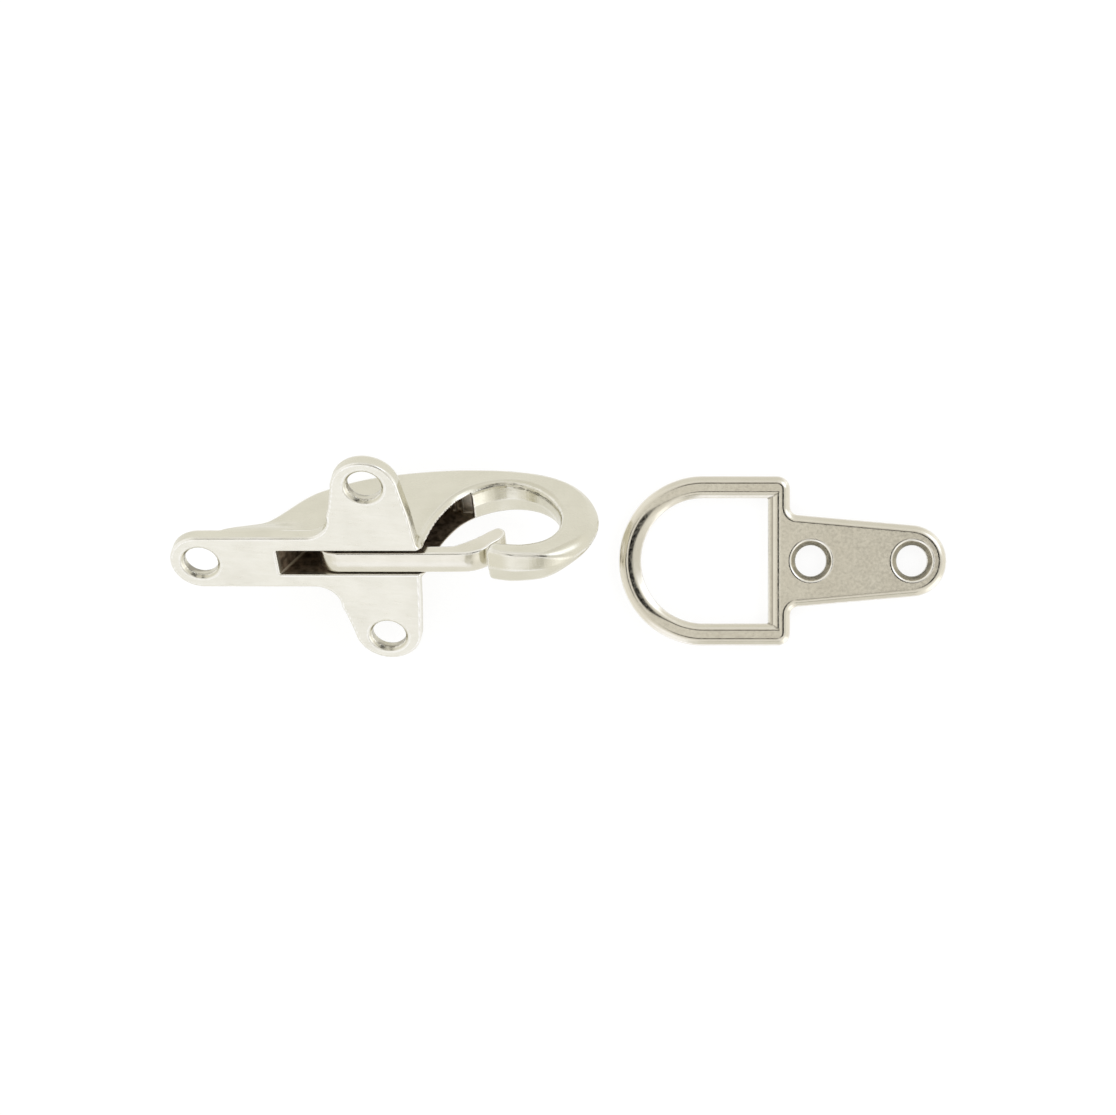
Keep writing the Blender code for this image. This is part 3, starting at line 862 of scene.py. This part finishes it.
def ring_mesh(name, rings):
    """A smooth round body through rings of points in the hook's frame, its ends closed."""
    count, sides = len(rings), len(rings[0])
    points = np.reshape(rings, (-1, 3)) * MM
    faces = []
    for ring in range(count - 1):
        for side in range(sides):
            a, b = ring * sides + side, ring * sides + (side + 1) % sides
            faces.append((a, b, b + sides, a + sides))
    faces.append(tuple(range(sides - 1, -1, -1)))
    faces.append(tuple(range((count - 1) * sides, count * sides)))
    mesh = bpy.data.meshes.new(name)
    mesh.from_pydata(points.tolist(), [], faces)
    mesh.transform(HOOK_FRAME)
    mesh.shade_smooth()
    return add_object(name, mesh)


def wire_rings(path, radius, sides=12):
    """Rings of a round wire along a path; each ring stands square to the path."""
    along = np.gradient(path, axis=0)
    along /= np.linalg.norm(along, axis=1)[:, None]
    across = np.cross(along, (0.0, 0.0, 1.0))
    across /= np.linalg.norm(across, axis=1)[:, None]
    other = np.cross(along, across)
    turn = np.linspace(0, 2 * math.pi, sides, endpoint=False)[:, None]
    return path[:, None] + radius * (np.cos(turn) * across[:, None] + np.sin(turn) * other[:, None])


def coil_path(steps_per_turn=32):
    """Middle line of the spring, its first and last turns drawn close together."""
    closed_share, closed_rise = 0.09, 0.38
    share = np.linspace(0, 1, SPRING_TURNS * steps_per_turn + 1)
    lift = np.clip((share - closed_share) / (1 - 2 * closed_share), 0, 1)
    first = np.clip(share / closed_share, 0, 1)
    last = np.clip((share - 1 + closed_share) / closed_share, 0, 1)
    free_height = SPRING_TOP_Z - SPRING_FOOT_Z - 2 * closed_rise
    z = SPRING_FOOT_Z + closed_rise * (first + last) + free_height * lift
    angle = 2 * math.pi * SPRING_TURNS * share
    return np.stack([SPRING_X + SPRING_RADIUS * np.cos(angle), SPRING_RADIUS * np.sin(angle), z], 1)


def make_spring():
    """Compression coil between the gate and the roof; in the real catch it closes up as the gate opens, here
    it is one fixed shape.
    """
    obj = ring_mesh("spring_coil", wire_rings(coil_path(), WIRE_RADIUS))
    assign(obj, spring_wire("spring_wire"), "hook", "gate_spring")
    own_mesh(obj)


def make_pin(sides=40):
    """Cross pin with slightly domed, chamfered ends."""
    half = BODY_HALF_WIDTH - 0.02
    section = [(0.2, -half), (0.45, -half + 0.02), (0.72, -half + 0.07), (PIN_RADIUS, -half + 0.25)]
    section += [(radius, -y) for radius, y in section[::-1]]
    turn = -np.linspace(0, 2 * math.pi, sides, endpoint=False)
    circle = np.stack([np.cos(turn), np.zeros(sides), np.sin(turn)], 1)
    rings = [PIVOT + radius * circle + (0, y, 0) for radius, y in section]
    material = nickel("pin_plate", (0.55, 0.53, 0.50), (0.45, 0.43, 0.40), 0.3)
    assign(ring_mesh("pivot_pin", rings), material, "hook", "gate_pivot_pin")


# ---------------------------------------------------------------------------------------------
# Studio
# ---------------------------------------------------------------------------------------------
def make_floor():
    """A plain pale floor, wide enough to fill every view, just under the object."""
    size = 3.0
    mesh = bpy.data.meshes.new("floor")
    corners = [(-size, -size, 0), (size, -size, 0), (size, size, 0), (-size, size, 0)]
    mesh.from_pydata(corners, [], [(0, 1, 2, 3)])
    floor = add_object("floor", mesh)
    floor.location.z = -0.0001
    material, nodes = new_material("floor_white")
    nodes.put(nodes.shader.inputs["Base Color"], (0.25, 0.25, 0.25, 1))
    nodes.put(nodes.shader.inputs["Roughness"], 1.0)
    nodes.put(nodes.shader.inputs["Specular IOR Level"], 0.0)
    nodes.put(nodes.shader.inputs["Emission Color"], (1, 1, 1, 1))
    nodes.put(nodes.shader.inputs["Emission Strength"], 0.82)
    mesh.materials.append(material)


# Surroundings: a base tone and a list of soft patches.  Each patch has a direction, an inner and an
# outer angle in degrees between which it fades, a tone, and how much it hides of what lies under it.
SKY_BASE = (1.05, 1.04, 1.02)
BLACK = (0.0, 0.0, 0.0)
NEARLY_BLACK = (0.05, 0.045, 0.04)
SOFT_GREY = (0.86, 0.85, 0.82)
SKY_PATCHES = (
    ((0.0, 0.0, 1.0), 16, 56, (0.85, 0.83, 0.79), 1.0),
    ((-0.15, -0.97, 0.12), 12, 30, (1.30, 1.32, 1.45), 1.0),
    ((-0.33, -0.76, 0.56), 8, 18, (1.28, 1.29, 1.38), 1.0),
    ((0.25, -0.93, 0.25), 3, 10, (0.70, 0.69, 0.66), 0.9),
    ((0.17, -0.79, 0.59), 3, 12, (0.45, 0.44, 0.41), 0.9),
    ((0.04, -0.90, 0.44), 5, 13, SOFT_GREY, 1.0),
    ((0.66, -0.05, 0.75), 8, 20, SOFT_GREY, 1.0),
    ((0.72, -0.62, 0.32), 8, 20, (1.6, 1.6, 1.65), 1.0),
    ((0.0, 0.95, 0.30), 12, 40, (0.88, 0.87, 0.84), 1.0),
    ((0.65, 0.43, 0.62), 9, 21, (1.75, 1.83, 2.05), 1.0),
    ((-0.26, 0.02, 0.97), 3, 7, (1.25, 1.25, 1.25), 0.8),
    ((0.31, -0.13, 0.95), 8, 11, BLACK, 1.0),
    ((0.33, 0.00, 0.94), 8, 11, BLACK, 1.0),
    ((0.30, 0.12, 0.95), 8, 11, BLACK, 1.0),
    ((0.22, 0.22, 0.95), 5, 8.5, BLACK, 1.0),
    ((0.03, 0.32, 0.95), 5, 9, NEARLY_BLACK, 0.95),
    ((0.0, -0.34, 0.94), 5, 9, NEARLY_BLACK, 0.95),
    ((-0.37, 0.0, 0.93), 4, 7, BLACK, 1.0),
    ((-0.36, -0.12, 0.93), 4, 7, BLACK, 1.0),
    ((-0.36, 0.12, 0.93), 4, 7, BLACK, 1.0),
)


def patch_share(nodes, direction, aim, inner, outer, cover):
    """How much of a patch shows in a direction."""
    dot = nodes.add("ShaderNodeVectorMath")
    dot.operation = "DOT_PRODUCT"
    nodes.put(dot.inputs[0], direction)
    nodes.put(dot.inputs[1], Vector(aim).normalized())
    shade = nodes.add("ShaderNodeMapRange", Value=dot.outputs["Value"])
    shade.interpolation_type = "SMOOTHSTEP"
    nodes.put(shade.inputs["From Min"], math.cos(math.radians(outer)))
    nodes.put(shade.inputs["From Max"], math.cos(math.radians(inner)))
    nodes.put(shade.inputs["To Max"], cover)
    return shade.outputs[0]


def make_world():
    """Soft studio surroundings, a little dimmer overhead than round the sides."""
    world = bpy.data.worlds.new("studio")
    bpy.context.scene.world = world
    world.use_nodes = True
    nodes = Nodes(world.node_tree)
    direction = nodes.add("ShaderNodeTexCoord").outputs["Generated"]
    tone = (*SKY_BASE, 1)
    for aim, inner, outer, color, cover in SKY_PATCHES:
        tone = nodes.mix(patch_share(nodes, direction, aim, inner, outer, cover), tone, (*color, 1))
    background = world.node_tree.nodes["Background"]
    nodes.put(background.inputs["Color"], tone)
    nodes.put(background.inputs["Strength"], 1.0)


def make_camera():
    """Camera straight above the table, as the pair is shown."""
    focal_pixels = 3200.0
    frame_width = 1116.0
    offset = Vector((0.0222, 0.0007, 0.3905))
    data = bpy.data.cameras.new("camera")
    data.sensor_width = 36.0
    data.lens = data.sensor_width * focal_pixels / frame_width
    camera = add_object("camera", data)
    camera.location = HOOK_ORIGIN + offset
    bpy.context.scene.camera = camera


def main():
    """Build every piece and the studio round them."""
    make_hook_body()
    make_gate()
    make_keeper()
    make_pin()
    make_spring()
    make_floor()
    make_world()
    make_camera()
    bpy.context.scene.view_settings.view_transform = "Standard"


main()
